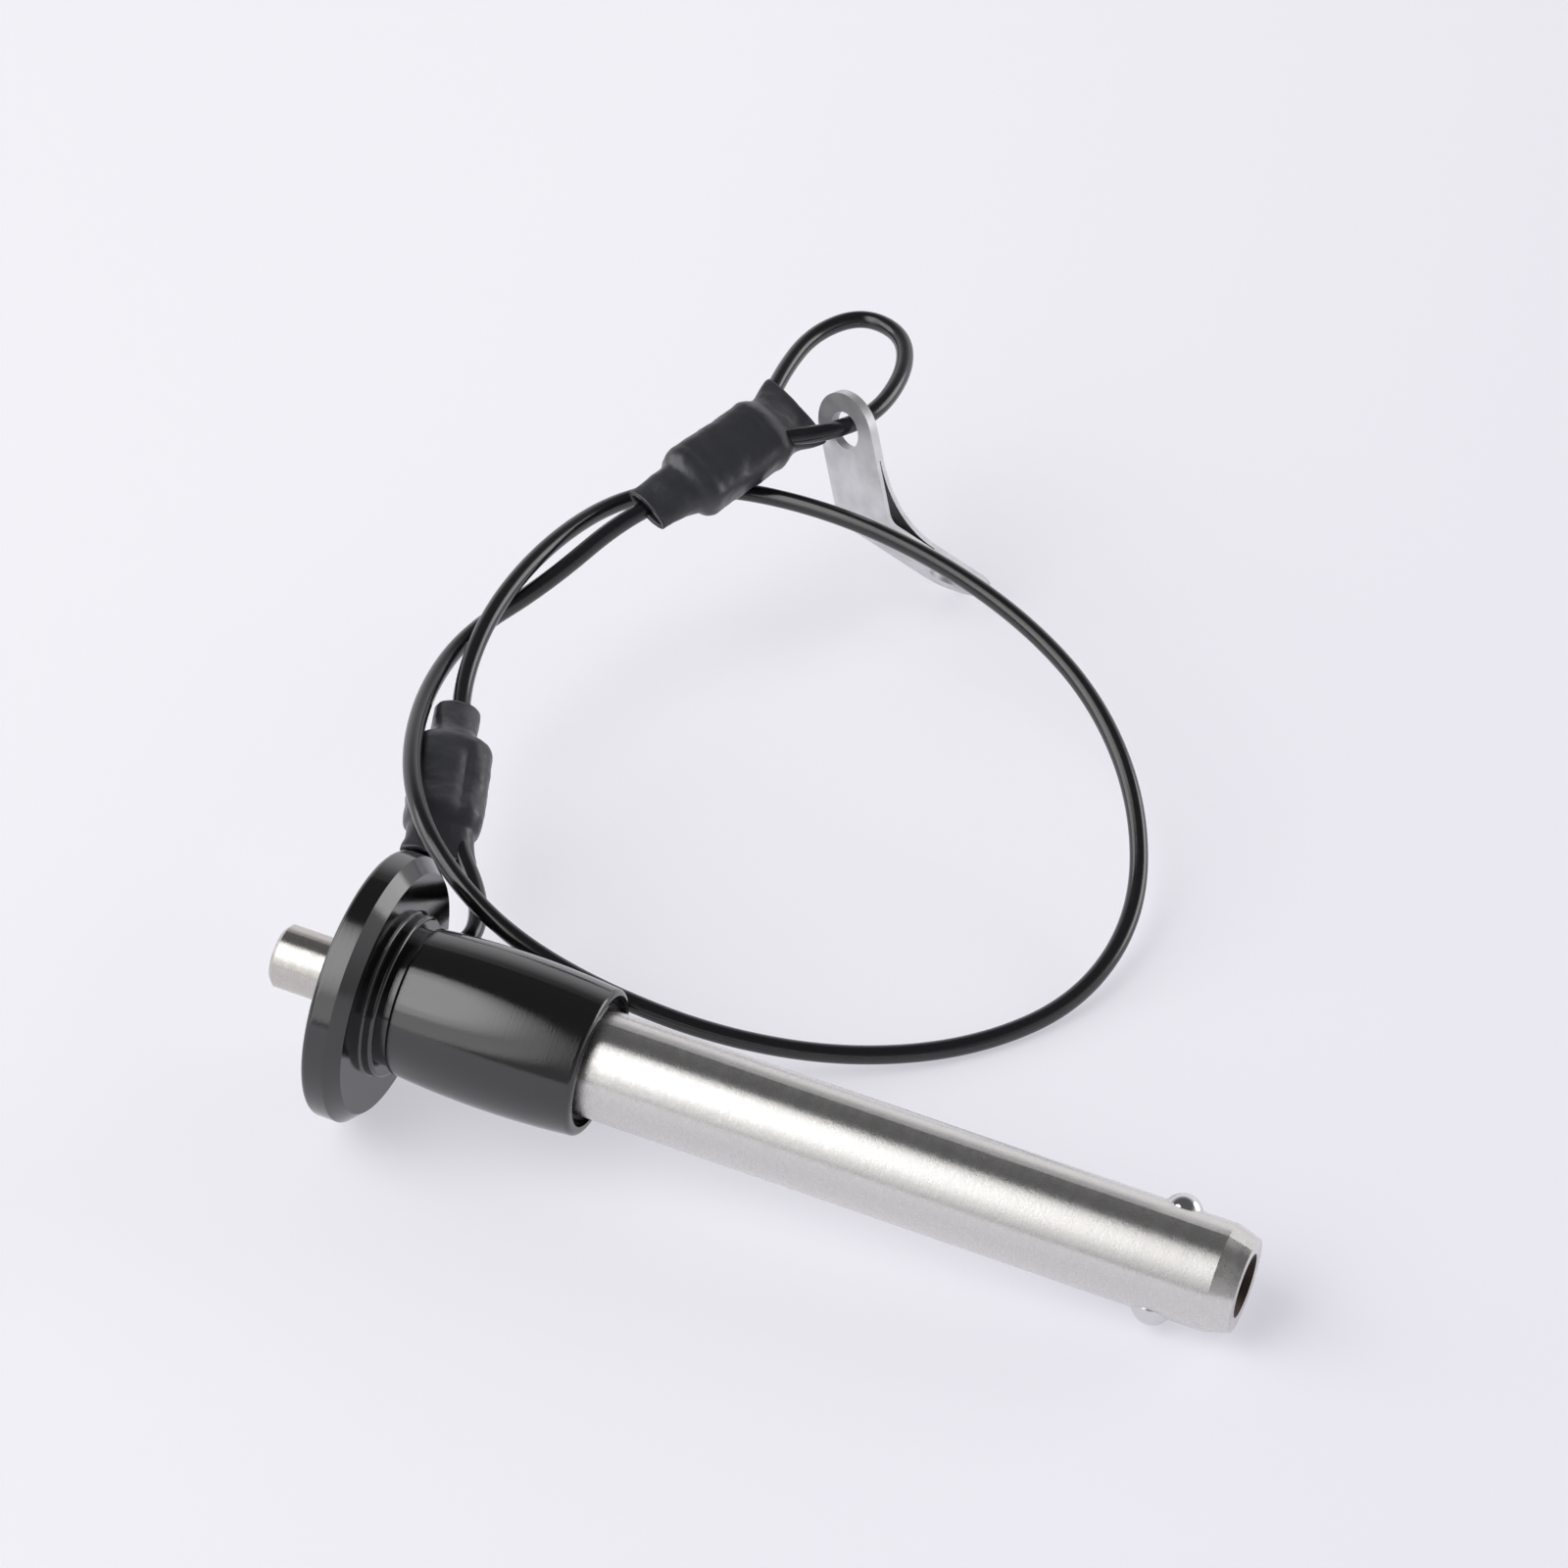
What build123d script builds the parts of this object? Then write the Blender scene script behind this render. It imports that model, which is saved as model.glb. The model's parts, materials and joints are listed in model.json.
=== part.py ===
from build123d import *
import math
import os

# Ball lock pin with a push button, and its wire lanyard. Millimetres, +Z up.
#
# The pin lies as it comes to rest on a level surface at z = 0: on the rim of its flange and on the
# edge of its tip, so that its axis slopes down a little towards +X. The origin is below the middle
# of the pin. Along the axis, stations are counted from the front face of the flange, towards the tip.

# ---- driving dimensions: handle ----------------------------------------------------------------
flange_dia = 25.4
flange_thickness = 3.5
flange_front_chamfer = 1.2
flange_back_round = 0.6
flange_fillet = 0.25  # foot of the hub on the flange
hub_dia = 15.4
hub_height = 1.2
hub_edge_round = 0.35
barrel_rear_dia = 13.9
neck_depth = 0.45  # below the barrel's rear edge
neck_length = 0.9
barrel_crown_dia = 14.8
barrel_front_dia = 13.8
barrel_crown_at = 0.5  # share of the barrel's length
barrel_front_round = 0.5
handle_front = 20.2  # station of the barrel's front end
recess_dia = 12.0  # counterbore round the shank at the front end
recess_depth = 1.2
back_wall = 2.5
lanyard_hole_dia = 3.2
lanyard_hole_rim = 2.95  # from the hole's axis to the rim of the flange
lanyard_hole_angle = 100.0  # degrees from straight up, towards +Y
lanyard_hole_break = 0.12

# ---- driving dimensions: shank and locking balls ------------------------------------------------
shank_dia = 10.0
shank_reach = 61.5  # from the barrel's front end to the tip
press_dia = 9.6  # the end of the shank that is pressed into the handle
tip_face_dia = 8.6
tip_chamfer = 2.2
nose_dia = 9.96  # the nose tapers this little, so that it doesn't scratch a bore
bore_dia = 4.5
tip_countersink_dia = 5.8
tip_countersink_depth = 0.6
chamber_dia = 7.7  # holds the return spring
chamber_depth = 14.0
ball_dia = 3.8
ball_from_tip = 7.2
ball_proud = 1.02
ball_clearance = 0.02
seat_clearance = 0.05
ball_angle = 43.0  # degrees from straight up, towards +Y
nose_margin = 0.7  # plain nose behind the balls

# ---- driving dimensions: spindle, button and spring ---------------------------------------------
button_travel = 3.5
button_dia = 6.0
button_proud = 8.0
button_edge = 0.4
button_collar_dia = 7.6
button_collar_length = 1.2
running_clearance = 0.05
rest_gap = 0.05
spindle_dia = 4.4
spindle_end_recess = 4.4
spindle_rod_dia = 3.6
spindle_land = 8.0
groove_flat = 1.2
groove_shoulder = 1.1
spring_wire_dia = 0.7
spring_turns = 7.0
spring_dia = 7.2

# ---- driving dimensions: lanyard ----------------------------------------------------------------
cable_dia = 1.8
ferrule_length = 10.0
ferrule_width = 6.6
ferrule_thickness = 3.9
sleeve_wall = 0.5
sleeve_body_length = 11.0
tab_width = 8.0
tab_thickness = 1.0
tab_hole_dia = 4.0
tab_screw_dia = 4.3
tab_upper_length = 9.6  # from the cable's hole to the bend
tab_bend_radius = 2.5  # of the outer layer
tab_slack_radius = 14.0  # of the inner layer, which takes a longer way round
tab_layer_gap = 0.1
tab_screw_from_end = 4.2

# ---- worked-out stations and the pin's own frame -------------------------------------------------
tip = handle_front + shank_reach
ball_station = tip - ball_from_tip
button_end = -flange_thickness - button_proud
chamber_back = -flange_thickness + back_wall
chamber_front = chamber_back + chamber_depth
ball_locked = shank_dia / 2 + ball_proud - ball_dia / 2
ball_travel = ball_locked - ball_clearance - (shank_dia / 2 - ball_dia / 2 - ball_clearance)

rim_rest = flange_dia / 2
tilt = math.atan((rim_rest - nose_dia / 2) / (tip - tip_chamfer + flange_front_chamfer))
face_height = rim_rest * math.cos(tilt) - flange_front_chamfer * math.sin(tilt)
low_x = button_end * math.cos(tilt) - (button_dia / 2 - button_edge) * math.sin(tilt)
high_x = tip * math.cos(tilt) + tip_face_dia / 2 * math.sin(tilt)
pin_axis = Vector(math.cos(tilt), 0, -math.sin(tilt))
pin_up = Vector(math.sin(tilt), 0, math.cos(tilt))
pin_origin = Vector(-(low_x + high_x) / 2, 0, face_height)

# The pin is drawn round the Z axis with its face at z = 0 and its tip at +z, then laid down.
PIN = Plane(origin=pin_origin, x_dir=pin_up, z_dir=pin_axis)


def laid(solid):
    """Lay a solid that was drawn round the Z axis into its place on the surface."""
    return PIN.location * solid


def turned(points):
    """A turned solid: the outline is (radius, station) points round the Z axis."""
    with BuildPart() as part:
        with BuildSketch(Plane.XZ):
            with BuildLine():
                Polyline(*points, close=True)
            make_face()
        revolve(axis=Axis.Z)
    return part.part


def edges_at(solid, station, radius):
    """The round edges of a turned solid at one station and radius."""
    return [
        edge
        for edge in solid.edges()
        if edge.geom_type == GeomType.CIRCLE
        and abs(edge.arc_center.Z - station) < 1e-4
        and abs(edge.radius - radius) < 1e-4
    ]


# ---- handle --------------------------------------------------------------------------------------
def make_handle():
    rim = flange_dia / 2
    neck = barrel_rear_dia / 2 - neck_depth
    barrel_start = hub_height + neck_length
    crown_station = barrel_start + (handle_front - barrel_start) * barrel_crown_at
    face_radius = rim - flange_front_chamfer
    with BuildPart() as part:
        with BuildSketch(Plane.XZ):
            with BuildLine():
                Polyline(
                    (0, -flange_thickness),
                    (rim, -flange_thickness),
                    (rim, -flange_front_chamfer),
                    (face_radius, 0),
                    (hub_dia / 2, 0),
                    (hub_dia / 2, hub_height),
                    (neck, hub_height),
                    (neck, barrel_start),
                    (barrel_rear_dia / 2, barrel_start),
                )
                ThreePointArc(
                    (barrel_rear_dia / 2, barrel_start),
                    (barrel_crown_dia / 2, crown_station),
                    (barrel_front_dia / 2, handle_front),
                )
                Polyline((barrel_front_dia / 2, handle_front), (0, handle_front), (0, -flange_thickness))
            make_face()
        revolve(axis=Axis.Z)
    body = part.part
    body = fillet(edges_at(body, -flange_thickness, rim), flange_back_round)
    body = fillet(edges_at(body, hub_height, hub_dia / 2), hub_edge_round)
    body = fillet(edges_at(body, barrel_start, barrel_rear_dia / 2), neck_depth * 0.8)
    body = fillet(edges_at(body, handle_front, barrel_front_dia / 2), barrel_front_round)
    body = fillet(edges_at(body, 0, hub_dia / 2), flange_fillet)
    button_hole = Cylinder(button_dia / 2 + running_clearance, flange_thickness * 3)
    press_hole = Pos(0, 0, chamber_back) * Cylinder(
        press_dia / 2, tip, align=(Align.CENTER, Align.CENTER, Align.MIN)
    )
    recess = Pos(0, 0, handle_front - recess_depth) * Cylinder(
        recess_dia / 2, recess_depth * 2, align=(Align.CENTER, Align.CENTER, Align.MIN)
    )
    turn = math.radians(lanyard_hole_angle)
    reach = rim - lanyard_hole_rim
    lanyard_hole = Pos(reach * math.cos(turn), -reach * math.sin(turn), -flange_thickness / 2) * Cylinder(
        lanyard_hole_dia / 2, flange_thickness * 2
    )
    body = body - button_hole - press_hole - recess - lanyard_hole
    mouths = [
        edge
        for edge in body.edges()
        if edge.geom_type == GeomType.CIRCLE and abs(edge.radius - lanyard_hole_dia / 2) < 1e-4
    ]
    return fillet(mouths, lanyard_hole_break)


# ---- shank ---------------------------------------------------------------------------------------
def ball_seats():
    """Two cross holes, closed down to a ball's shape at the outside, so that the balls stay in."""
    seat_radius = ball_dia / 2 + seat_clearance
    seats = []
    for side in (0, 180):
        drill = Cylinder(seat_radius, ball_locked, align=(Align.CENTER, Align.CENTER, Align.MIN))
        mouth = Pos(0, 0, ball_locked) * Sphere(seat_radius)
        lean = Rot(0, 90, 0) * (drill + mouth)
        seats.append(Pos(0, 0, ball_station) * Rot(0, 0, side - ball_angle) * lean)
    return seats


def make_shank():
    shoulder = handle_front - recess_depth
    nose = ball_station - ball_dia / 2 - nose_margin
    tube = turned(
        [
            (chamber_dia / 2, chamber_back),
            (press_dia / 2, chamber_back),
            (press_dia / 2, shoulder),
            (shank_dia / 2, shoulder),
            (shank_dia / 2, nose),
            (nose_dia / 2, tip - tip_chamfer),
            (tip_face_dia / 2, tip),
            (tip_countersink_dia / 2, tip),
            (bore_dia / 2, tip - tip_countersink_depth),
            (bore_dia / 2, chamber_front),
            (chamber_dia / 2, chamber_front),
        ]
    )
    for seat in ball_seats():
        tube = tube - seat
    return tube


# ---- locking balls -------------------------------------------------------------------------------
def make_ball(side):
    return Pos(0, 0, ball_station) * Rot(0, 0, side - ball_angle) * Pos(ball_locked, 0, 0) * Sphere(ball_dia / 2)


# ---- spindle and button ----------------------------------------------------------------------------
def make_spindle():
    """The rod that locks the balls. Its ramp lets them sink as the button goes in."""
    radius = spindle_dia / 2
    rod = spindle_rod_dia / 2
    slope = ball_travel / button_travel
    sunk = ball_locked - ball_travel
    groove = ball_station - button_travel
    floor = sunk - ball_clearance - ball_dia / 2 * math.sqrt(1 + slope**2)
    ramp_end = groove + (radius - floor) / slope
    return turned(
        [
            (0, button_end + button_edge),
            (rod, button_end + button_edge),
            (rod, groove - groove_flat - groove_shoulder - spindle_land),
            (radius, groove - groove_flat - groove_shoulder - spindle_land + radius - rod),
            (radius, groove - groove_flat - groove_shoulder),
            (floor, groove - groove_flat),
            (floor, groove),
            (radius, ramp_end),
            (radius, tip - spindle_end_recess),
            (0, tip - spindle_end_recess),
        ]
    )


def make_button():
    """A plain cap on the rod, with a collar behind the handle's wall that keeps it in."""
    button = button_dia / 2
    collar = button_collar_dia / 2
    front = chamber_back + rest_gap + button_collar_length
    cap = turned(
        [
            (0, button_end),
            (button - button_edge, button_end),
            (button, button_end + button_edge),
            (button, chamber_back + rest_gap),
            (collar, chamber_back + rest_gap),
            (collar, front),
            (0, front),
        ]
    )
    socket = Pos(0, 0, button_end + button_edge) * Cylinder(
        spindle_rod_dia / 2, tip, align=(Align.CENTER, Align.CENTER, Align.MIN)
    )
    return cap - socket


def make_spring():
    """A compression spring between the button's collar and the shoulder in the shank."""
    start = chamber_back + rest_gap + button_collar_length + spring_wire_dia / 2
    height = chamber_front - spring_wire_dia / 2 - start
    radius = (spring_dia - spring_wire_dia) / 2
    coil = Helix(pitch=height / spring_turns, height=height, radius=radius)
    wire = Plane(origin=coil @ 0, z_dir=coil % 0) * Circle(spring_wire_dia / 2)
    return Pos(0, 0, start) * sweep(wire, path=coil)


# ---- lanyard cable ---------------------------------------------------------------------------------
# The route of the cable's centre line: out of the ferrule at the pin, through the flange, back
# through the ferrule, round the big loop, and through the other ferrule and the tab.
cable_route = [
    (-43.9, 27.5, 13.2),  # end, inside the ferrule at the pin
    (-42.3, 22.6, 12.7),
    (-42.2, 17.0, 11.9),
    (-41.3, 10.6, 11.2),  # behind the flange
    (-36.9, 8.9, 10.9),  # in the flange's hole
    (-32.6, 10.8, 10.7),  # before the flange
    (-34.2, 16.9, 11.0),
    (-40.1, 23.2, 12.7),  # ferrule at the pin
    (-43.9, 33.9, 13.8),
    (-47.9, 41.8, 14.8),
    (-49.1, 51.6, 17.4),
    (-48.2, 63.9, 18.0),  # over the other strand
    (-45.4, 75.6, 16.8),
    (-38.1, 81.9, 16.2),  # under the sleeve at the tab
    (-26.0, 82.2, 16.2),
    (-13.0, 78.6, 16.0),
    (-0.8, 73.0, 14.8),
    (9.0, 66.4, 12.3),
    (16.4, 57.6, 8.2),
    (20.2, 47.0, 3.6),
    (18.6, 35.5, 1.2),
    (11.8, 25.8, 0.95),  # on the surface
    (1.8, 18.9, 1.8),
    (-9.0, 13.9, 4.8),
    (-19.6, 11.5, 8.7),
    (-28.6, 11.7, 12.0),
    (-35.6, 14.4, 14.8),  # past the rim of the flange
    (-41.2, 18.9, 17.0),
    (-46.4, 27.3, 17.0),
    (-50.3, 39.0, 15.8),
    (-51.2, 50.4, 14.9),
    (-46.9, 60.0, 15.7),  # under the other strand
    (-42.3, 70.1, 18.9),
    (-36.8, 76.1, 20.0),  # ferrule at the tab
    (-33.1, 85.4, 20.9),
    (-27.9, 87.9, 21.3),
    (-24.5, 92.7, 21.6),  # past the tab
    (-24.5, 101.0, 21.9),
    (-27.2, 106.9, 22.2),
    (-32.4, 108.5, 22.3),
    (-35.9, 103.6, 22.1),
    (-36.3, 95.8, 21.7),
    (-35.1, 86.2, 20.9),  # ferrule at the tab
    (-38.6, 77.5, 20.05),  # end, inside the ferrule
]


def corner_radii(points):
    """The largest arc that the two runs at each corner allow."""
    radii = []
    for before, here, after in zip(points, points[1:], points[2:]):
        run_in = Vector(*here) - Vector(*before)
        run_out = Vector(*after) - Vector(*here)
        half_turn = math.radians(run_in.get_angle(run_out)) / 2
        radii.append(0.45 * min(run_in.length, run_out.length) / math.tan(half_turn))
    return radii


def make_cable():
    path = FilletPolyline(*cable_route, radius=corner_radii(cable_route))
    section = Plane(origin=path @ 0, z_dir=path % 0) * Circle(cable_dia / 2)
    tube = sweep(section, path=path)
    print("cable length", round(path.length, 2))
    print("corner radii", [round(radius, 1) for radius in corner_radii(cable_route)])
    print("volume over section times length", tube.volume / (path.length * math.pi * cable_dia**2 / 4))
    return tube


# ---- ferrules and heat-shrink sleeves ------------------------------------------------------------
def along(start, end, side):
    """A frame half way from start to end: its Z points at end and its X to the given side."""
    low, high = Vector(*start), Vector(*end)
    direction = (high - low).normalized()
    across = Vector(*side) - direction * direction.dot(Vector(*side))
    return Plane(origin=(low + high) / 2, x_dir=across, z_dir=direction)


PIN_SLEEVE = along((-41.2, 22.9, 12.7), (-44.9, 33.6, 13.8), (1, 0, 0))
TAB_SLEEVE = along((-37.8, 76.6, 20.0), (-34.1, 85.8, 20.9), (1, 0, 0))


def make_ferrule(place, cable):
    """An oval crimp over two strands, closed round them."""
    with BuildPart() as part:
        with BuildSketch():
            SlotOverall(ferrule_width, ferrule_thickness)
        extrude(amount=ferrule_length / 2, both=True)
        chamfer(part.faces().sort_by(Axis.Z)[-1].edges(), 0.3)
        chamfer(part.faces().sort_by(Axis.Z)[0].edges(), 0.3)
    return place.location * part.part - cable


def oval(height, width, thickness):
    """The outline of a sleeve at one height."""
    return Plane(origin=(0, 0, height)) * Ellipse(width / 2, thickness / 2)


def make_sleeve(place, ferrule_solid, cable, lower, upper):
    """A heat-shrink sleeve: tight over the ferrule, with a loose tail at each end.

    lower and upper are (length, width, thickness) of the two tails' open ends.
    """
    width = ferrule_width + 3 * sleeve_wall
    thickness = ferrule_thickness + 2.8 * sleeve_wall
    half = sleeve_body_length / 2
    neck = half + 1.8

    def tube(shrink, more):
        return loft(
            [
                oval(-half - lower[0] - more, lower[1] - shrink, lower[2] - shrink),
                oval(-neck, width - 1.4 - shrink, thickness - 1.0 - shrink),
                oval(-half + 0.4, width - 0.3 - shrink, thickness - 0.2 - shrink),
                oval(0, width - shrink, thickness - shrink),
                oval(half - 0.4, width - 0.3 - shrink, thickness - 0.2 - shrink),
                oval(neck, width - 1.4 - shrink, thickness - 1.0 - shrink),
                oval(half + upper[0] + more, upper[1] - shrink, upper[2] - shrink),
            ]
        )

    middle = Box(ferrule_width * 3, ferrule_width * 3, ferrule_length)
    shell = tube(0, 0) - (tube(2 * sleeve_wall, 0.2) - middle)
    shell = place.location * shell - ferrule_solid - cable
    return shell.solids().sort_by(SortBy.VOLUME)[-1]


# ---- fixing tab ------------------------------------------------------------------------------------
tab_across = Vector(0.839, -0.377, 0.392)
tab_down = Vector(0.318, -0.252, -0.914)
tab_foot = Vector(0.539, 0.480, -0.692)
tab_hole_at = Vector(-26.25, 89.2, 21.4)


def make_tab():
    """A strip folded double, with round ends and a bend where its inner layer stands off.

    The upper hole takes the cable, and the hole in the foot a screw.
    """
    radius = tab_width / 2
    half = tab_thickness / 2
    across = tab_across.normalized()
    down = (tab_down - across * tab_down.dot(across)).normalized()
    foot = (tab_foot - across * tab_foot.dot(across)).normalized()
    upper_plane = Plane(origin=tab_hole_at, x_dir=down, z_dir=across.cross(down))
    bend = tab_hole_at + down * tab_upper_length
    lower_normal = across.cross(foot)
    # the foot is as long as it has to be for its round end to stand on the surface
    dip = radius * math.sqrt(1 - lower_normal.Z**2) + half * abs(lower_normal.Z)
    foot_length = (bend.Z - dip) / -foot.Z
    lower_plane = Plane(origin=bend, x_dir=foot, z_dir=lower_normal)
    side = upper_plane.y_dir
    profile_plane = Plane(origin=bend, x_dir=down, z_dir=side)
    turn = math.radians(down.get_angle(foot))
    run = Vector(math.cos(turn), -math.sin(turn))
    lift = Vector(math.sin(turn), math.cos(turn))

    def layer(height, corner_radius, upper, lower):
        """A line at one height over the strip's middle, round the bend."""
        corner = Vector(height * math.tan(turn / 2), height)
        end = corner + run * lower
        return FilletPolyline(corner - Vector(upper, 0), corner, end, radius=corner_radius)

    front = layer(half, tab_bend_radius, tab_upper_length, foot_length)
    back = layer(-half, tab_slack_radius, tab_upper_length, foot_length)
    strip = make_face([front, back, Line(front @ 0, back @ 0), Line(front @ 1, back @ 1)])
    gap = tab_layer_gap / 2
    reach = (tab_slack_radius + half) * math.tan(turn / 2) * 1.02
    near = layer(gap, tab_bend_radius - half + gap, reach, reach)
    far = layer(-gap, tab_slack_radius + half - gap, reach, reach)
    hollow = make_face([near, far, Line(near @ 0, far @ 0), Line(near @ 1, far @ 1)])
    profile = profile_plane.location * (strip - hollow)
    plate = extrude(profile, amount=radius, dir=side, both=True)
    for plane, reach in ((upper_plane, 0.0), (lower_plane, foot_length)):
        plate = plate + plane.location * Pos(reach, 0, 0) * Cylinder(radius, tab_thickness)
    cable_hole = upper_plane.location * Cylinder(tab_hole_dia / 2, tab_thickness * 4)
    screw_place = Pos(foot_length + radius - tab_screw_from_end, 0, 0)
    screw_hole = lower_plane.location * screw_place * Cylinder(tab_screw_dia / 2, tab_thickness * 4)
    return plate - cable_hole - screw_hole


# ---- write -----------------------------------------------------------------------------------------
def main():
    cable = make_cable()
    ferrule_pin = make_ferrule(PIN_SLEEVE, cable)
    ferrule_tab = make_ferrule(TAB_SLEEVE, cable)
    nodes = {
        "handle": laid(make_handle()),
        "shank": laid(make_shank()),
        "spindle": laid(make_spindle()),
        "push_button": laid(make_button()),
        "return_spring": laid(make_spring()),
        "ball_upper": laid(make_ball(0)),
        "ball_lower": laid(make_ball(180)),
        "lanyard_cable": cable,
        "ferrule_pin": ferrule_pin,
        "ferrule_tab": ferrule_tab,
        "heatshrink_pin": make_sleeve(PIN_SLEEVE, ferrule_pin, cable, (4.6, 7.4, 3.2), (6.4, 4.8, 3.4)),
        "heatshrink_tab": make_sleeve(TAB_SLEEVE, ferrule_tab, cable, (5.6, 5.4, 3.4), (4.8, 7.6, 3.2)),
        "fixing_tab": make_tab(),
    }
    os.makedirs("parts", exist_ok=True)
    for name, solid in nodes.items():
        export_step(solid, f"parts/{name}.step")


main()
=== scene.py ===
import json
import math

import bpy
from mathutils import Matrix, Vector, noise


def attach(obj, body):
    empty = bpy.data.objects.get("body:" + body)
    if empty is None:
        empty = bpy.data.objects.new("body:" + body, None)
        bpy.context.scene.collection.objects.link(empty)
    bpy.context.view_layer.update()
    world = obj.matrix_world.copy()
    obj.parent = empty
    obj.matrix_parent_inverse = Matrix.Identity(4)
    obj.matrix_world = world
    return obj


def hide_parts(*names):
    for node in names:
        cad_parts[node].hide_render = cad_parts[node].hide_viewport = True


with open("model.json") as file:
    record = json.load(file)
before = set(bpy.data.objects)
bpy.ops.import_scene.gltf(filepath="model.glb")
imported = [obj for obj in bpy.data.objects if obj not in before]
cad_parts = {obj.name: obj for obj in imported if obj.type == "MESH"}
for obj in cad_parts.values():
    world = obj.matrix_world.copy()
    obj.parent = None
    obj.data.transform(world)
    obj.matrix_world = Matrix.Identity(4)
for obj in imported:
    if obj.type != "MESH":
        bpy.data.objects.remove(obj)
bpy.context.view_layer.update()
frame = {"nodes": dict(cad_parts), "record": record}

MM = 0.001
PER_METRE = 1000  # millimetres
scene = bpy.context.scene
nodes = frame["nodes"]
mounts = {mount["name"]: mount for mount in frame["record"]["mounts"]}

# ---- the pin's own frame ---------------------------------------------------------------------------
pin_axis = Vector(mounts["grip"]["axis"]).normalized()
pin_middle = Vector(mounts["grip"]["pos_m"])


# ---- shader helpers --------------------------------------------------------------------------------
class Nodes:
    """A material's node tree, with short calls that add and link nodes."""

    def __init__(self, name):
        self.material = bpy.data.materials.new(name)
        self.material.use_nodes = True
        self.tree = self.material.node_tree
        self.bsdf = self.tree.nodes["Principled BSDF"]

    def add(self, kind, inputs=None, **settings):
        node = self.tree.nodes.new(kind)
        for key, value in settings.items():
            setattr(node, key, value)
        for key, value in (inputs or {}).items():
            if isinstance(value, bpy.types.NodeSocket):
                self.tree.links.new(value, node.inputs[key])
            else:
                node.inputs[key].default_value = value
        return node

    def set(self, **values):
        for key, value in values.items():
            socket = self.bsdf.inputs[key.replace("_", " ")]
            if isinstance(value, bpy.types.NodeSocket):
                self.tree.links.new(value, socket)
            else:
                socket.default_value = value

    def place(self):
        """Object coordinates in millimetres."""
        coords = self.add("ShaderNodeTexCoord")
        size = [PER_METRE] * 3
        return self.add("ShaderNodeMapping", {"Vector": coords.outputs["Object"], "Scale": size}).outputs[0]

    def noise(self, vector, scale, detail=3.0, roughness=0.55):
        inputs = {"Vector": vector, "Scale": scale, "Detail": detail, "Roughness": roughness}
        return self.add("ShaderNodeTexNoise", inputs).outputs["Fac"]

    def span(self, value, low, high, from_low=0.3, from_high=0.7):
        """value, stretched from one range to another."""
        node = self.add(
            "ShaderNodeMapRange",
            {"Value": value, "From Min": from_low, "From Max": from_high, "To Min": low, "To Max": high},
        )
        return node.outputs[0]

    def mix(self, factor, first, second):
        node = self.add("ShaderNodeMix", {0: factor}, data_type="RGBA")
        for socket, value in ((node.inputs[6], first), (node.inputs[7], second)):
            if isinstance(value, bpy.types.NodeSocket):
                self.tree.links.new(value, socket)
            else:
                socket.default_value = value
        return node.outputs[2]

    def maths(self, operation, first, second):
        return self.add("ShaderNodeMath", {0: first, 1: second}, operation=operation).outputs[0]

    def bump(self, height, distance, strength=1.0, normal=None):
        inputs = {"Height": height, "Distance": distance * MM, "Strength": strength}
        if normal is not None:
            inputs["Normal"] = normal
        return self.add("ShaderNodeBump", inputs).outputs[0]


def along_pin(n):
    """The distance along the pin's axis in millimetres, as a vector for a noise of rings."""
    coords = n.add("ShaderNodeTexCoord")
    inputs = {0: coords.outputs["Object"], 1: pin_axis * PER_METRE}
    station = n.add("ShaderNodeVectorMath", inputs, operation="DOT_PRODUCT")
    return n.add("ShaderNodeCombineXYZ", {0: station.outputs["Value"]}).outputs[0]


MOTTLE = 0.3  # how far the patches and the grit darken the steel
# painted shade: the dark brown that stands in for the shadow inside the bore
BORE_PAINTED_SHADE = (0.045, 0.033, 0.027, 1)
BORE_ROUGHER = 0.3
BORE_EDGE = 0.04  # mm, on each side of the change


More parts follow.
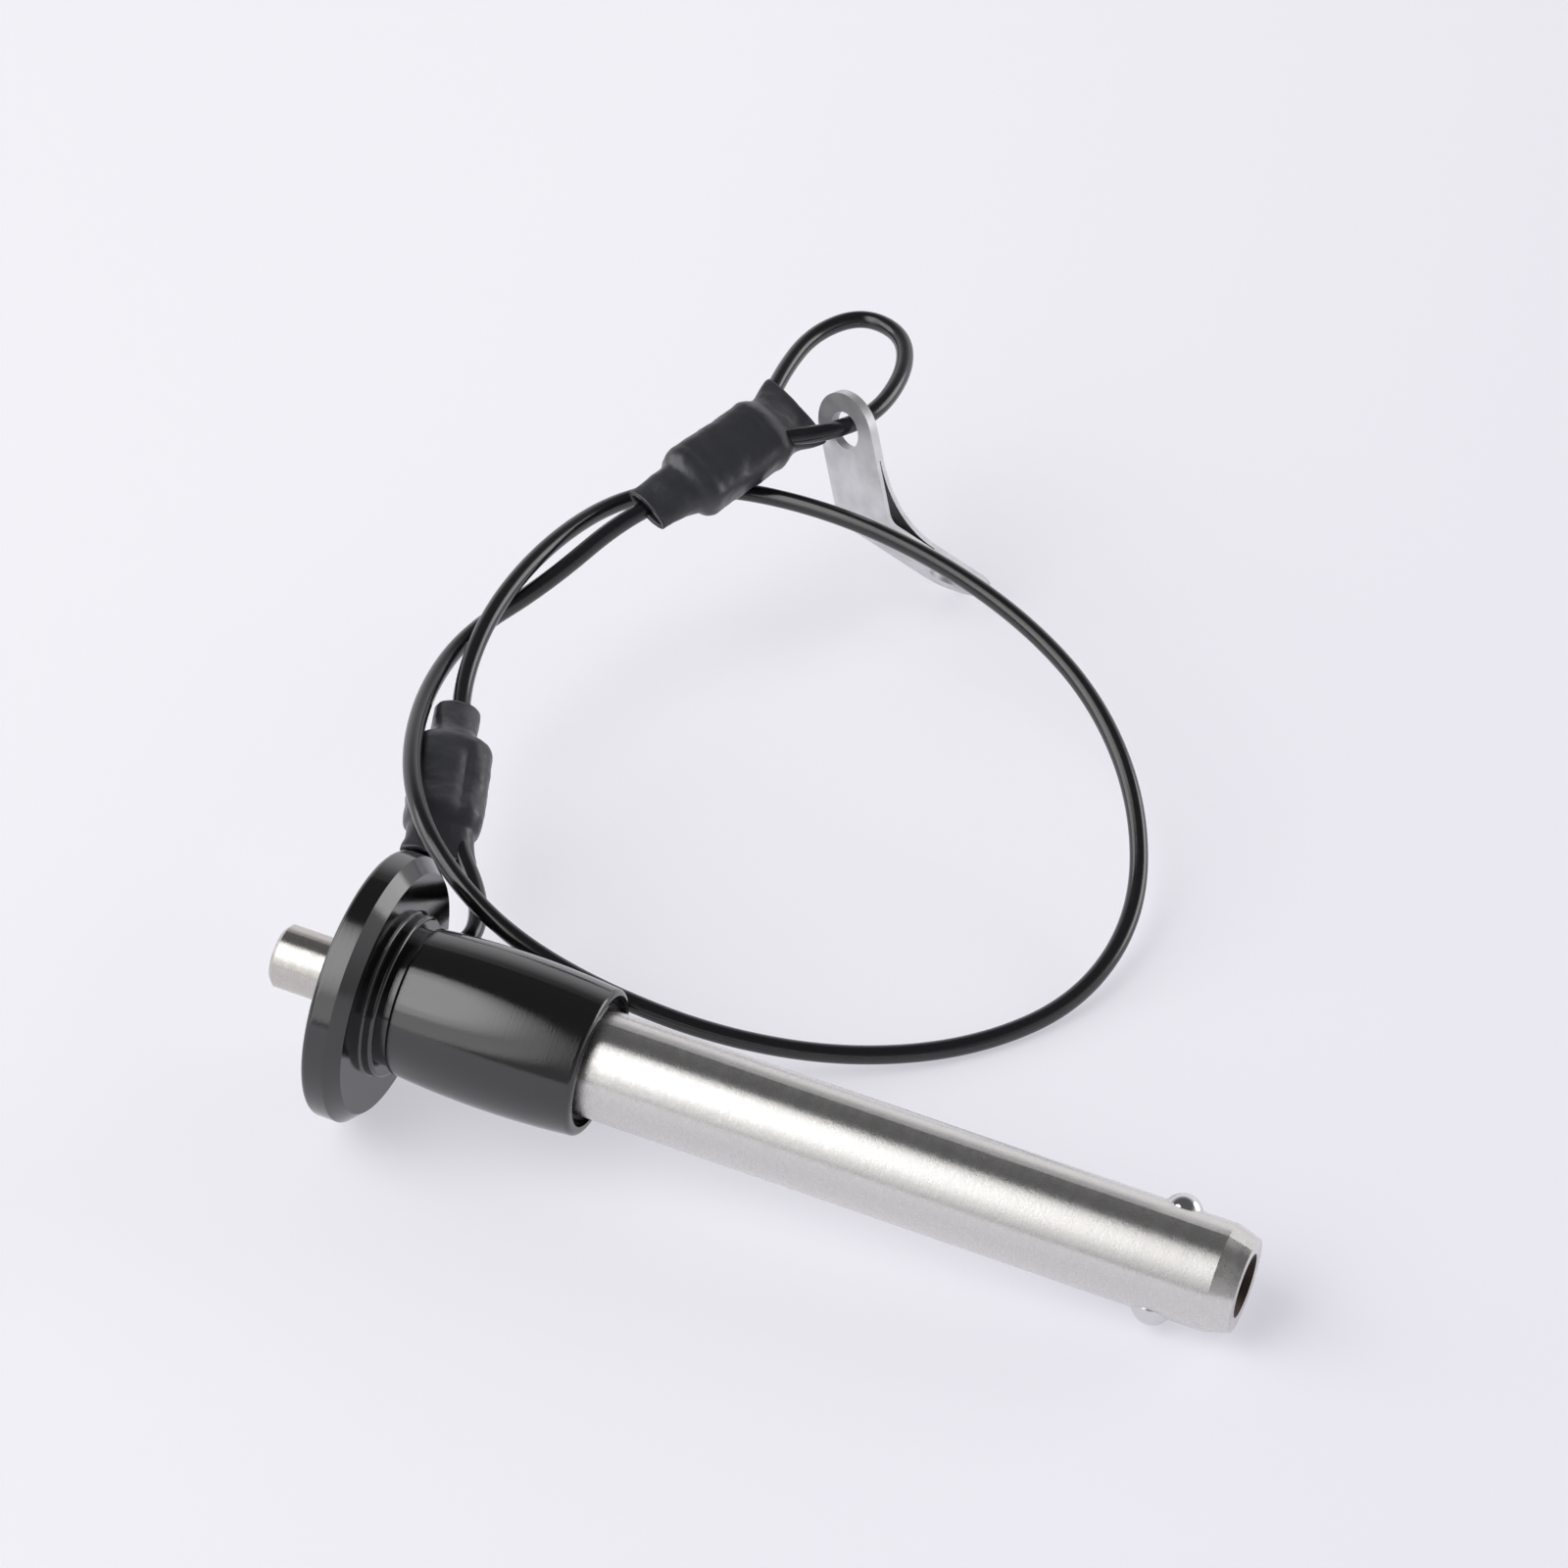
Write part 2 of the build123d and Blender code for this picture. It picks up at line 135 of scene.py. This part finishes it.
def turned_steel(name, colour, rough, bore=0.0):
    """Stainless steel from the lathe: fine rings round the axis, and a smear of the light along it.

    Nearer to the axis than bore, in millimetres, it's rougher and painted a dark brown, a painted shade for the
    inside of the drilled hole.
    """
    n = Nodes(name)
    coords = n.add("ShaderNodeTexCoord")
    reach = n.add("ShaderNodeVectorMath", {0: coords.outputs["Object"], 1: pin_middle}, operation="SUBTRACT")
    rounds = n.add("ShaderNodeVectorMath", {0: pin_axis, 1: reach.outputs[0]}, operation="CROSS_PRODUCT")
    rings = n.noise(along_pin(n), 7.0, 5.0, 0.75)
    wide = n.noise(along_pin(n), 0.6, 2.0, 0.5)
    patches = n.noise(n.place(), 1.6, 5.0, 0.65)
    grit = n.noise(n.place(), 4.2, 3.0, 0.6)
    dark = [c * 0.84 for c in colour]
    shade = n.mix(n.span(rings, 0, 1, 0.25, 0.75), [*dark, 1], [*colour, 1])
    shade = n.mix(n.span(patches, 0, MOTTLE), shade, [c * 0.72 for c in colour] + [1])
    shade = n.mix(n.span(grit, 0, MOTTLE), shade, [c * 0.8 for c in colour] + [1])
    blend = n.maths("ADD", n.maths("MULTIPLY", patches, 0.6), n.maths("MULTIPLY", wide, 0.4))
    roughness = n.span(blend, rough * 0.8, rough * 1.3)
    # Painted shade: the bore is darkened to brown, and made rougher.
    if bore:
        radius = n.add("ShaderNodeVectorMath", {0: rounds.outputs[0]}, operation="LENGTH").outputs["Value"]
        inside = n.span(radius, 1, 0, (bore - BORE_EDGE) * MM, (bore + BORE_EDGE) * MM)
        shade = n.mix(inside, shade, BORE_PAINTED_SHADE)
        roughness = n.maths("ADD", roughness, n.maths("MULTIPLY", inside, BORE_ROUGHER))
    n.set(
        Base_Color=shade,
        Metallic=1.0,
        Roughness=roughness,
        Anisotropic=0.8,
        Normal=n.bump(grit, 0.006, 1.0, n.bump(patches, 0.009, 1.0, n.bump(rings, 0.004, 1.0))),
    )
    # The rings scatter light across themselves: along the axis on the sides, outwards on the ends.
    geometry = n.add("ShaderNodeNewGeometry")
    across = n.add(
        "ShaderNodeVectorMath", {0: geometry.outputs["Normal"], 1: rounds.outputs[0]}, operation="CROSS_PRODUCT"
    )
    n.tree.links.new(across.outputs[0], n.bsdf.inputs["Tangent"])
    return n.material


def black_anodised(name):
    """Glossy black anodised aluminium, with the faint rings and specks of the turned metal below."""
    n = Nodes(name)
    rings = n.noise(along_pin(n), 3.0, 4.0, 0.7)
    specks = n.noise(n.place(), 5.0, 4.0, 0.65)
    smudge = n.noise(n.place(), 0.35, 3.0, 0.6)
    n.set(
        Base_Color=n.mix(n.span(specks, 0, 1), (0.0012, 0.0011, 0.0014, 1), (0.0026, 0.0025, 0.0029, 1)),
        Roughness=n.span(smudge, 0.06, 0.12),
        Specular_IOR_Level=1.0,
        Normal=n.bump(specks, 0.005, 1.0, n.bump(rings, 0.005, 1.0)),
    )
    return n.material


def black_coating(name):
    """The smooth plastic coating of the wire rope."""
    n = Nodes(name)
    fine = n.noise(n.place(), 3.0, 3.0, 0.6)
    n.set(
        Base_Color=n.mix(n.span(fine, 0, 1), (0.006, 0.006, 0.0074, 1), (0.010, 0.010, 0.012, 1)),
        Roughness=n.span(n.noise(n.place(), 0.8), 0.14, 0.22),
        Specular_IOR_Level=0.7,
        Normal=n.bump(fine, 0.008, 0.6),
    )
    return n.material


def heat_shrink(name):
    """Matte heat-shrink tube: near black, with a soft sheen and a fine dry grain."""
    n = Nodes(name)
    grain = n.noise(n.place(), 12.0, 4.0, 0.7)
    cloud = n.noise(n.place(), 0.5, 3.0, 0.55)
    n.set(
        Base_Color=n.mix(n.span(cloud, 0, 1), (0.029, 0.0297, 0.035, 1), (0.037, 0.038, 0.0455, 1)),
        Roughness=n.span(grain, 0.28, 0.4),
        Specular_IOR_Level=0.6,
        Normal=n.bump(grain, 0.008, 0.7, n.bump(cloud, 0.12, 0.6)),
    )
    return n.material


def satin_steel(name, colour, rough):
    """Satin stainless steel with a tumbled, cloudy finish."""
    n = Nodes(name)
    grain = n.noise(n.place(), 8.0, 4.0, 0.7)
    cloud = n.noise(n.place(), 0.45, 3.0, 0.5)
    n.set(
        Base_Color=n.mix(n.span(cloud, 0, 1), [*colour, 1], [c * 0.85 for c in colour] + [1]),
        Metallic=1.0,
        Roughness=n.span(cloud, rough * 0.85, rough * 1.15),
        Normal=n.bump(grain, 0.004, 0.8),
    )
    return n.material


BORE_RADIUS = 2.95  # mm, just past the countersink in the tip
STEEL = turned_steel("turned_stainless", (0.77, 0.755, 0.73), 0.26, bore=BORE_RADIUS)
BUTTON_STEEL = turned_steel("turned_button", (0.66, 0.635, 0.6), 0.26)
BALL_STEEL = satin_steel("ball_polish", (0.74, 0.74, 0.74), 0.08)
SPRING_STEEL = satin_steel("spring_wire", (0.5, 0.5, 0.5), 0.3)
TAB_STEEL = satin_steel("tab_satin", (0.72, 0.72, 0.73), 0.45)
CRIMP = satin_steel("crimped_sleeve", (0.6, 0.6, 0.6), 0.35)
BLACK = black_anodised("black_anodised")
COATING = black_coating("cable_coating")
SHRINK = heat_shrink("heat_shrink")


def finish_piece(piece, body, slot, *replaced):
    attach(piece, body)
    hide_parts(*replaced)
    return piece


# ---- cable -----------------------------------------------------------------------------------------
CABLE_DIAMETER = 1.8
CABLE_STEPS = 24  # between two points of the route
CABLE_AROUND = 8  # steps round a quarter of it
CABLE_ROUTE = [
    (-43.9, 27.5, 13.2),
    (-42.3, 22.6, 12.7),
    (-42.2, 17.0, 11.9),
    (-41.3, 10.6, 11.2),
    (-36.9, 8.9, 10.9),
    (-32.6, 10.8, 10.7),
    (-34.2, 16.9, 11.0),
    (-40.1, 23.2, 12.7),
    (-43.9, 33.9, 13.8),
    (-47.9, 41.8, 14.8),
    (-49.1, 51.6, 17.4),
    (-48.2, 63.9, 18.0),
    (-45.4, 75.6, 16.8),
    (-38.1, 81.9, 16.2),
    (-26.0, 82.2, 16.2),
    (-13.0, 78.6, 16.0),
    (-0.8, 73.0, 14.8),
    (9.0, 66.4, 12.3),
    (16.4, 57.6, 8.2),
    (20.2, 47.0, 3.6),
    (18.6, 35.5, 1.2),
    (11.8, 25.8, 0.95),
    (1.8, 18.9, 1.8),
    (-9.0, 13.9, 4.8),
    (-19.6, 11.5, 8.7),
    (-28.6, 11.7, 12.0),
    (-35.6, 14.4, 14.8),
    (-41.2, 18.9, 17.0),
    (-46.4, 27.3, 17.0),
    (-50.3, 39.0, 15.8),
    (-51.2, 50.4, 14.9),
    (-46.9, 60.0, 15.7),
    (-42.3, 70.1, 18.9),
    (-36.8, 76.1, 20.0),
    (-33.1, 85.4, 20.9),
    (-27.9, 87.9, 21.3),
    (-24.5, 92.7, 21.6),
    (-24.5, 101.0, 21.9),
    (-27.2, 106.9, 22.2),
    (-32.4, 108.5, 22.3),
    (-35.9, 103.6, 22.1),
    (-36.3, 95.8, 21.7),
    (-35.1, 86.2, 20.9),
    (-38.6, 77.5, 20.05),
]
curve = bpy.data.curves.new("lanyard", "CURVE")
curve.dimensions = "3D"
curve.resolution_u = CABLE_STEPS
curve.bevel_depth = CABLE_DIAMETER / 2 * MM
curve.bevel_resolution = CABLE_AROUND
curve.use_fill_caps = True
spline = curve.splines.new("NURBS")
spline.points.add(len(CABLE_ROUTE) - 1)
for point, place in zip(spline.points, CABLE_ROUTE):
    point.co = (*[value * MM for value in place], 1)
spline.order_u = 3
spline.use_endpoint_u = True
curve.materials.append(COATING)
lanyard = bpy.data.objects.new("lanyard", curve)
scene.collection.objects.link(lanyard)
finish_piece(lanyard, "pin", "cable_black", "lanyard_cable")

# ---- heat-shrink sleeves ---------------------------------------------------------------------------
SLEEVE_WALL = 0.45
SLEEVE_LIP = 0.3  # of the wall, by which its ends are drawn in
SLEEVE_STEP = 0.22
SLEEVE_AROUND = 96
WRINKLES = ((0.55, 0.10), (1.6, 0.035))  # how close they are, how high
GROOVE_REACH = 5.2  # from the middle of a sleeve to where its groove has faded out
GROOVE_WIDTH = 0.42
GROOVE_FADE = 1.5  # how fast it reaches its depth, up from the side

FERRULE_AROUND = 48
FERRULE_END = 1.75  # radius of its round sides
FERRULE_FLAT = 1.35  # from its middle to where a side starts to round
FERRULE_RINGS = ((-5.0, 0.3), (-4.7, 0.0), (4.7, 0.0), (5.0, 0.3))  # height, how far it's drawn in


def sleeve_frame(low, high, roll):
    """The middle of a sleeve, and the directions along, across and down, rolled about its length."""
    low, high = Vector(low), Vector(high)
    length = (high - low).normalized()
    across = (Vector((1, 0, 0)) - length * length.x).normalized()
    across = Matrix.Rotation(math.radians(roll), 3, length) @ across
    return (low + high) / 2, length, across, length.cross(across)


def eased(rows, position):
    """The row at a position, from rows of (position, value, ...), with no overshoot between them."""
    last = len(rows) - 1
    i = max(0, min(last - 1, sum(1 for row in rows if row[0] <= position) - 1))
    span = rows[i + 1][0] - rows[i][0]
    t = (position - rows[i][0]) / span

    def slope(k, column):
        if k in (0, last):
            return 0.0
        before = (rows[k][column] - rows[k - 1][column]) / (rows[k][0] - rows[k - 1][0])
        after = (rows[k + 1][column] - rows[k][column]) / (rows[k + 1][0] - rows[k][0])
        return 0.0 if before * after <= 0 else 2 * before * after / (before + after)

    result = []
    for column in range(1, len(rows[0])):
        start, end = rows[i][column], rows[i + 1][column]
        lead, trail = slope(i, column) * span, slope(i + 1, column) * span
        result.append(
            start * (2 * t**3 - 3 * t**2 + 1)
            + lead * (t**3 - 2 * t**2 + t)
            + end * (3 * t**2 - 2 * t**3)
            + trail * (t**3 - t**2)
        )
    return result


def sleeve(name, low, high, roll, rows, groove, replaced):
    """A shrunk tube from low to high, open at both ends.

    A row is (height, shift across, shift down, half width, half thickness, squareness, slant of the
    cut). The groove is (place across, depth): a dent along the side that faces up.
    """
    middle, length, across, down = sleeve_frame(low, high, roll)
    first, last = rows[0][0], rows[-1][0]
    steps = round((last - first) / SLEEVE_STEP)
    seed = Vector((middle.y, middle.z, middle.x))

    def ring(height, inset):
        right, sink, wide, thick, square, slant = eased(rows, height)
        points = []
        for k in range(SLEEVE_AROUND):
            angle = 2 * math.pi * k / SLEEVE_AROUND
            c, s = math.cos(angle), math.sin(angle)
            x = (wide - inset) * math.copysign(abs(c) ** (2 / square), c)
            y = (thick - inset) * math.copysign(abs(s) ** (2 / square), s)
            if y < 0:
                body = max(0.0, 1 - (height / GROOVE_REACH) ** 4)
                dent = math.exp(-(((x - groove[0]) / GROOVE_WIDTH) ** 2))
                y += groove[1] * body * dent * min(1.0, -y / thick * GROOVE_FADE)
            point = across * (right + x) + down * (sink + y) + length * (height + slant * x)
            wave = sum(noise.noise(point * close + seed) * high for close, high in WRINKLES)
            outward = (across * c + down * s).normalized()
            points.append((middle + point + outward * wave) * MM)
        return points

    heights = [first + (last - first) * k / steps for k in range(steps + 1)]
    lip = SLEEVE_WALL * SLEEVE_LIP
    rings = [ring(first, lip)] + [ring(h, 0) for h in heights] + [ring(last, lip)]
    rings += [ring(h, SLEEVE_WALL) for h in reversed(heights)]
    mesh = bpy.data.meshes.new(name)
    faces = []
    for i in range(len(rings)):
        j = (i + 1) % len(rings)
        for k in range(SLEEVE_AROUND):
            m = (k + 1) % SLEEVE_AROUND
            here, there = i * SLEEVE_AROUND, j * SLEEVE_AROUND
            faces.append((here + k, here + m, there + m, there + k))
    mesh.from_pydata([tuple(p) for points in rings for p in points], [], faces)
    mesh.polygons.foreach_set("use_smooth", [True] * len(faces))
    mesh.materials.append(SHRINK)
    piece = bpy.data.objects.new(name, mesh)
    scene.collection.objects.link(piece)
    return finish_piece(piece, "pin", "heatshrink_black", replaced)


def ferrule(name, low, high, roll, replaced):
    """The crimped oval inside a sleeve, turned as the sleeve is."""
    middle, length, across, down = sleeve_frame(low, high, roll)
    rings = []
    for height, inset in FERRULE_RINGS:
        points = []
        for k in range(FERRULE_AROUND):
            angle = 2 * math.pi * k / FERRULE_AROUND
            c, s = math.cos(angle), math.sin(angle)
            flat = math.copysign(FERRULE_FLAT, c)
            radius = FERRULE_END - inset
            spot = across * (flat + radius * c) + down * radius * s + length * height
            points.append((middle + spot) * MM)
        rings.append(points)
    last = len(rings) - 1
    faces = [tuple(range(FERRULE_AROUND)), tuple(range(last * FERRULE_AROUND, (last + 1) * FERRULE_AROUND))]
    for i in range(last):
        for k in range(FERRULE_AROUND):
            here, beyond = i * FERRULE_AROUND + k, i * FERRULE_AROUND + (k + 1) % FERRULE_AROUND
            faces.append((here, beyond, beyond + FERRULE_AROUND, here + FERRULE_AROUND))
    mesh = bpy.data.meshes.new(name)
    mesh.from_pydata([tuple(p) for points in rings for p in points], [], faces)
    mesh.materials.append(CRIMP)
    piece = bpy.data.objects.new(name, mesh)
    scene.collection.objects.link(piece)
    return finish_piece(piece, "pin", "ferrule_metal", replaced)


# Each sleeve's two ends and its roll in degrees, which its crimp shares.
PIN_SLEEVE = ((-41.2, 22.9, 12.7), (-44.9, 33.6, 13.8), 18.0)
TAB_SLEEVE = ((-37.8, 76.6, 20.0), (-34.1, 85.8, 20.9), 24.0)
ferrule_pin = ferrule("crimp_pin", *PIN_SLEEVE, "ferrule_pin")
ferrule_tab = ferrule("crimp_tab", *TAB_SLEEVE, "ferrule_tab")
sleeve_pin = sleeve(
    "sleeve_pin",
    *PIN_SLEEVE,
    [
        (-9.1, 0.2, 0.2, 3.75, 1.1, 2.2, -0.09),
        (-7.2, 0.1, 0.1, 3.35, 1.5, 2.3, -0.05),
        (-5.6, 0.0, 0.0, 3.2, 1.75, 2.5, 0.0),
        (-4.7, 0.0, 0.0, 3.6, 2.3, 2.9, 0.0),
        (-3.9, 0.05, 0.0, 3.75, 2.5, 3.0, 0.0),
        (0.0, 0.1, 0.0, 3.8, 2.42, 3.0, 0.0),
        (5.0, 0.1, 0.0, 3.8, 2.5, 3.0, 0.0),
        (5.9, 0.05, 0.0, 3.65, 2.4, 2.8, 0.0),
        (7.1, -0.1, 0.05, 2.5, 2.0, 2.3, 0.0),
        (8.0, -0.1, 0.1, 2.25, 1.9, 2.2, 0.0),
        (11.3, -0.05, 0.2, 2.25, 1.85, 2.1, 0.0),
    ],
    (1.15, 0.32),
    "heatshrink_pin",
)
sleeve_tab = sleeve(
    "sleeve_tab",
    *TAB_SLEEVE,
    [
        (-11.6, -0.3, -0.05, 2.6, 0.95, 2.1, 0.0),
        (-8.6, -0.2, -0.05, 2.75, 1.6, 2.2, 0.0),
        (-6.8, -0.1, 0.0, 2.95, 1.9, 2.4, 0.0),
        (-5.8, -0.1, 0.0, 3.75, 2.35, 2.9, 0.0),
        (-5.1, -0.1, 0.0, 3.95, 2.52, 3.1, 0.0),
        (-4.0, -0.1, 0.0, 3.88, 2.4, 3.2, 0.0),
        (3.4, -0.1, 0.0, 3.88, 2.38, 3.2, 0.0),
        (4.4, -0.1, 0.0, 3.98, 2.52, 3.1, 0.0),
        (5.2, -0.1, 0.0, 3.8, 2.35, 2.9, 0.0),
        (6.3, -0.1, 0.0, 3.5, 1.8, 2.5, 0.0),
        (9.9, -0.1, 0.0, 4.5, 0.95, 2.3, -0.03),
    ],
    (0.0, 0.0),
    "heatshrink_tab",
)

# ---- finishes of the other nodes ---------------------------------------------------------------------
FINISHES = {
    "handle": BLACK,
    "shank": STEEL,
    "spindle": BUTTON_STEEL,
    "push_button": BUTTON_STEEL,
    "return_spring": SPRING_STEEL,
    "ball_upper": BALL_STEEL,
    "ball_lower": BALL_STEEL,
    "fixing_tab": TAB_STEEL,
}
for name, material in FINISHES.items():
    nodes[name].data.materials.clear()
    nodes[name].data.materials.append(material)

TAB_EDGE = 0.12
TAB_EDGE_ANGLE = 50  # degrees, past which an edge is rounded
edge_round = nodes["fixing_tab"].modifiers.new("edge_round", "BEVEL")
edge_round.width = TAB_EDGE * MM
edge_round.segments = 2
edge_round.limit_method = "ANGLE"
edge_round.angle_limit = math.radians(TAB_EDGE_ANGLE)

# ---- floor, light and camera ------------------------------------------------------------------------
FLOOR_REACH = 3
FLOOR_COLOUR = (0.965, 0.955, 0.99, 1)
# painted light: the floor's glow fades from the paler left to the greyer right
GLOW_LEFT = (0.98, 0.97, 1.03, 1)
GLOW_RIGHT = (0.86, 0.85, 0.95, 1)
GLOW_SPREAD = 90  # mm from the middle to the left's colour, and to the right's
GLOW_SHARE = 0.5
floor_mesh = bpy.data.meshes.new("floor")
corners = [(x * FLOOR_REACH, y * FLOOR_REACH, 0) for x, y in ((-1, -1), (1, -1), (1, 1), (-1, 1))]
floor_mesh.from_pydata(corners, [], [(0, 1, 2, 3)])
floor = bpy.data.objects.new("floor", floor_mesh)
scene.collection.objects.link(floor)
ground = Nodes("floor_paper")
ground.set(Base_Color=FLOOR_COLOUR, Roughness=0.9, Specular_IOR_Level=0.1)
# Seen by the camera or in a reflection, part of the floor is a painted pale glow, which makes the shadows
# light; it is paler on the left than on the right, a painted falloff of the light.
spot = ground.add("ShaderNodeSeparateXYZ", {0: ground.place()})
rightness = ground.span(spot.outputs[0], 0, 1, -GLOW_SPREAD, GLOW_SPREAD)
glow = ground.mix(rightness, GLOW_LEFT, GLOW_RIGHT)
pale = ground.add("ShaderNodeEmission", {"Color": glow, "Strength": 1.0})
path = ground.add("ShaderNodeLightPath")
seen = ground.maths("MAXIMUM", path.outputs["Is Camera Ray"], path.outputs["Is Glossy Ray"])
seen = ground.maths("MULTIPLY", seen, GLOW_SHARE)
surface = ground.add("ShaderNodeMixShader", {0: seen, 1: ground.bsdf.outputs[0], 2: pale.outputs[0]})
ground.tree.links.new(surface.outputs[0], ground.tree.nodes["Material Output"].inputs["Surface"])
floor_mesh.materials.append(ground.material)

# The world is a wall up to some height all round, paler behind than in front, below a dark ceiling.
WALL_FRONT = (0.36, 0.36, 0.375, 1)
WALL_BACK = (0.93, 0.92, 0.95, 1)
CEILING = (0.12, 0.12, 0.125, 1)
WALL_TO, CEILING_FROM = 14, 48  # degrees above the level
FRONT_TO, BACK_FROM = -0.55, 0.35  # the y of a direction of length 1
world = bpy.data.worlds.new("studio")
world.use_nodes = True
scene.world = world
tree = world.node_tree
coords = tree.nodes.new("ShaderNodeTexCoord")
apart = tree.nodes.new("ShaderNodeSeparateXYZ")
height = tree.nodes.new("ShaderNodeMapRange")
height.interpolation_type = "SMOOTHSTEP"
height.inputs["From Min"].default_value = math.sin(math.radians(WALL_TO))
height.inputs["From Max"].default_value = math.sin(math.radians(CEILING_FROM))
shade = tree.nodes.new("ShaderNodeMix")
shade.data_type = "RGBA"
shade.inputs[7].default_value = CEILING
depth = tree.nodes.new("ShaderNodeMapRange")
depth.interpolation_type = "SMOOTHSTEP"
depth.inputs["From Min"].default_value = FRONT_TO
depth.inputs["From Max"].default_value = BACK_FROM
wall = tree.nodes.new("ShaderNodeMix")
wall.data_type = "RGBA"
wall.inputs[6].default_value = WALL_FRONT
wall.inputs[7].default_value = WALL_BACK
tree.links.new(coords.outputs["Generated"], apart.inputs[0])
tree.links.new(apart.outputs[1], depth.inputs["Value"])
tree.links.new(depth.outputs[0], wall.inputs[0])
tree.links.new(wall.outputs[2], shade.inputs[6])
tree.links.new(apart.outputs[2], height.inputs["Value"])
tree.links.new(height.outputs[0], shade.inputs[0])
tree.links.new(shade.outputs[2], tree.nodes["Background"].inputs["Color"])


LIGHT_DISTANCE = 1.6
LIGHT_AIM = Vector((0, 0.03, 0))


def soft_light(name, lean, height, width, tall, radiance):
    """A softbox that faces the object, as wide and tall as it looks from there, in degrees.

    It is lean degrees off the plane across the pin's axis, towards the button, and stands at a
    height that is counted round the axis, from the level in front.
    """
    lift = pin_axis.cross(Vector((0, 1, 0)))
    e, l = math.radians(height), math.radians(lean)
    way = -pin_axis * math.sin(l) + (Vector((0, -1, 0)) * math.cos(e) + lift * math.sin(e)) * math.cos(l)
    data = bpy.data.lights.new(name, "AREA")
    data.shape = "ELLIPSE"
    data.size = 2 * LIGHT_DISTANCE * math.tan(math.radians(width / 2))
    data.size_y = 2 * LIGHT_DISTANCE * math.tan(math.radians(tall / 2))
    data.energy = radiance * math.pi * data.size * data.size_y * math.pi / 4
    lamp = bpy.data.objects.new(name, data)
    lamp.location = LIGHT_AIM + way * LIGHT_DISTANCE
    side = (pin_axis - way * way.dot(pin_axis)).normalized()
    lamp.rotation_euler = Matrix((side, way.cross(side), way)).transposed().to_euler()
    scene.collection.objects.link(lamp)


soft_light("front_wide", 32, 44, 54, 82, 1.1)
soft_light("front_middle", 31, 55, 38, 60, 1.12)
soft_light("front_core", 28, 56, 24, 46, 0.8)
soft_light("left_box", 66, 70, 36, 40, 2.2)
soft_light("back_box", -42, 152, 40, 30, 2.4)

CAMERA_AT = (0.142239, -0.342649, 0.326844)
CAMERA_RIGHT = Vector((0.926407, 0.376525, 0.0))
CAMERA_UP = Vector((-0.227095, 0.558747, 0.797640))
CAMERA_BACK = Vector((0.300331, -0.738939, 0.603134))
camera_data = bpy.data.cameras.new("camera")
camera_data.sensor_width = 36
camera_data.lens = 125.645
camera_data.clip_start = 0.01
camera = bpy.data.objects.new("camera", camera_data)
camera.matrix_world = Matrix((CAMERA_RIGHT, CAMERA_UP, CAMERA_BACK)).transposed().to_4x4()
camera.matrix_world.translation = CAMERA_AT
scene.collection.objects.link(camera)
scene.camera = camera
scene.view_settings.view_transform = "Standard"
